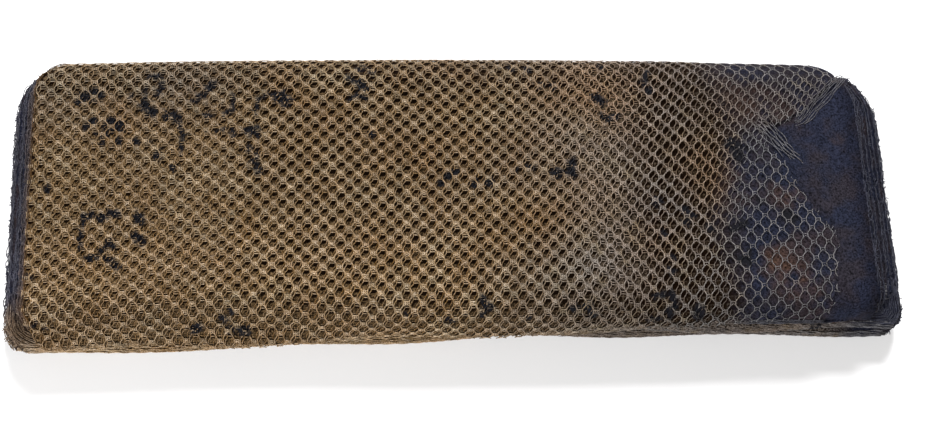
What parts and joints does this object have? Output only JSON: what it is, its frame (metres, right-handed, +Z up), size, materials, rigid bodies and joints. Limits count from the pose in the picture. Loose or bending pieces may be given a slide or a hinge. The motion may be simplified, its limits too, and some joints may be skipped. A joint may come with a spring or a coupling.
{
  "type": "folded camouflage net",
  "caption": "Knitted mesh camouflage net, folded back and forth into a long flat pack with its folds along the sides and its cut edge on top.",
  "frame": {"origin": "middle of the pack's bottom, on the surface that it lies on", "axes": "+X along the pack towards the top layer's cut edge, +Y from the rolled front to the flap at the back, +Z up through the layers"},
  "size_m": [0.331, 0.1068, 0.0288],
  "materials": {
    "net_mesh": "matt knitted polyester mesh, sand-brown with small black marks, dark brown and navy on the inner layers"
  },
  "bodies": {
    "root": {"camouflage_net": "net_mesh"}
  },
  "joints": []
}
